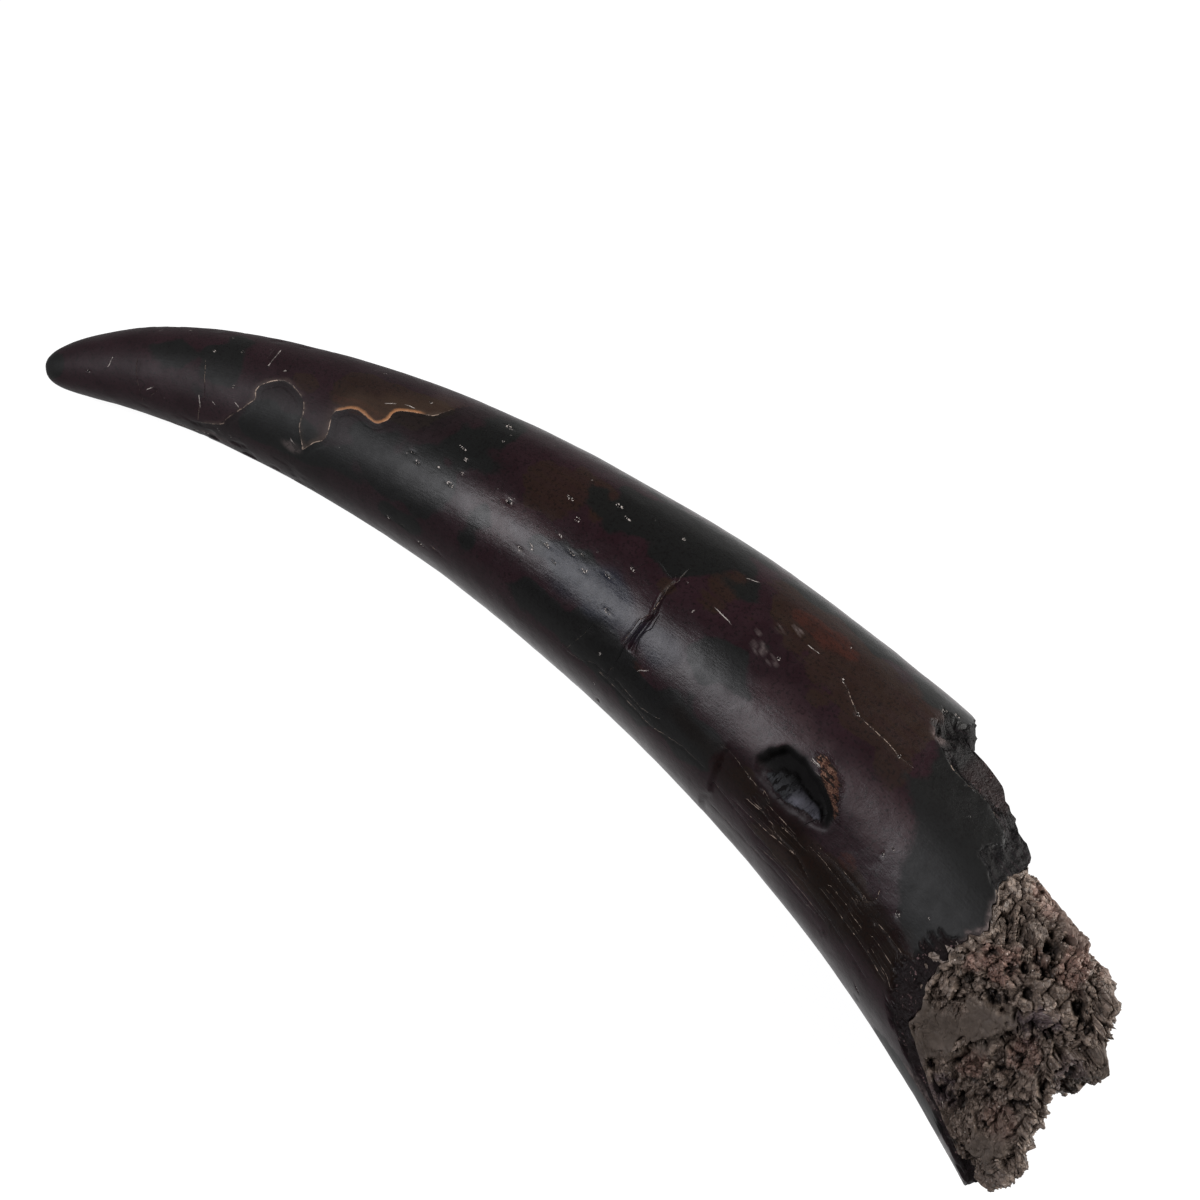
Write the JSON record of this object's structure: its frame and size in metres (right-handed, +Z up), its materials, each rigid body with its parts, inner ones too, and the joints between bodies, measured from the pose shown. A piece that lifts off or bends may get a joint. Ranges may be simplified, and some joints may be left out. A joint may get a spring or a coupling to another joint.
{
  "type": "fossil deinothere tusk",
  "caption": "Curved fossil tusk of dark polished dentine lying on its side, broken off at the root, where the crumbly grey-brown stone filling its pulp cavity shows.",
  "frame": {"origin": "under the middle of the bounding box, on the surface that the tusk lies on", "axes": "+X from the tip to the broken root, +Y towards the side that the tusk bows to, +Z up from the surface it lies on"},
  "size_m": [0.4354, 0.1286, 0.0847],
  "materials": {
    "dentine": "polished fossil dentine, dark brown to black",
    "matrix": "rough crumbly grey-brown sandstone"
  },
  "bodies": {
    "root": {"tusk": "dentine", "matrix_fill": "matrix"}
  },
  "joints": []
}
